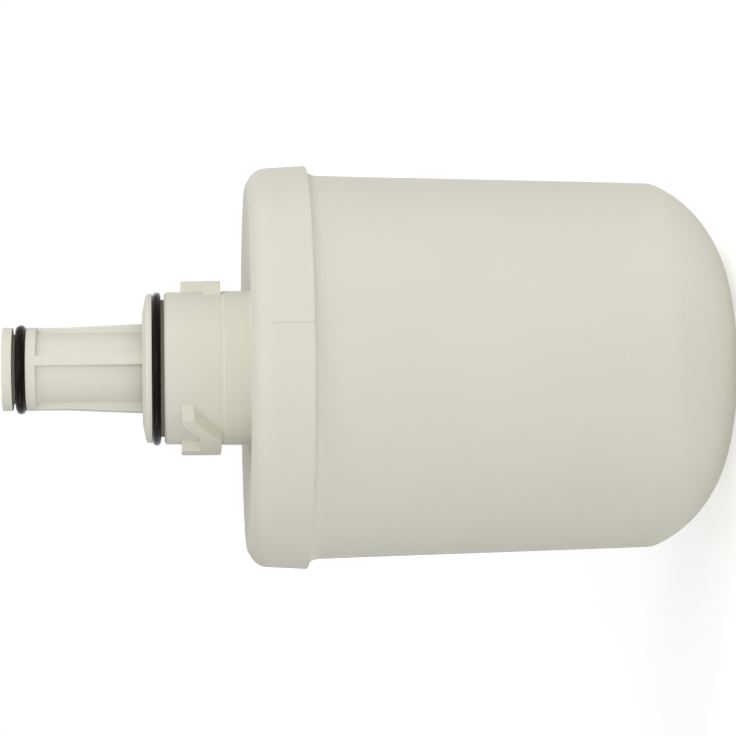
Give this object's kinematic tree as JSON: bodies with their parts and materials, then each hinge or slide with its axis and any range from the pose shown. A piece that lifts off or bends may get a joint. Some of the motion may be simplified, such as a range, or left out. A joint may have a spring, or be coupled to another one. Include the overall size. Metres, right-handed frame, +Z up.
{
  "type": "refrigerator water filter cartridge",
  "caption": "Ivory twist-in water filter: rounded cup and wide collar, short neck with bayonet lugs and a ribbed spigot sealed by black O-rings, carbon block inside.",
  "frame": {"origin": "middle of the flat base that the cartridge stands on", "axes": "+Z up the cartridge's axis to the spigot's tip, +X and -X through the bayonet lugs, Y in the plane where the head's mould parts"},
  "size_m": [0.0772, 0.0776, 0.1386],
  "materials": {
    "ivory_polypropylene": "moulded, satin",
    "black_nitrile": "greased, smooth",
    "pressed_carbon": "pressed granules, matte",
    "fibre_wrap": "non-woven fibre",
    "white_polypropylene": "moulded, satin"
  },
  "bodies": {
    "root": {"filter_housing": "ivory_polypropylene", "head_cap": "ivory_polypropylene", "neck_o_ring": "black_nitrile", "spigot_o_ring": "black_nitrile", "carbon_block": "pressed_carbon", "prefilter_wrap": "fibre_wrap", "upper_end_cap": "white_polypropylene", "lower_end_cap": "white_polypropylene", "nipple_o_ring": "black_nitrile"}
  },
  "joints": []
}
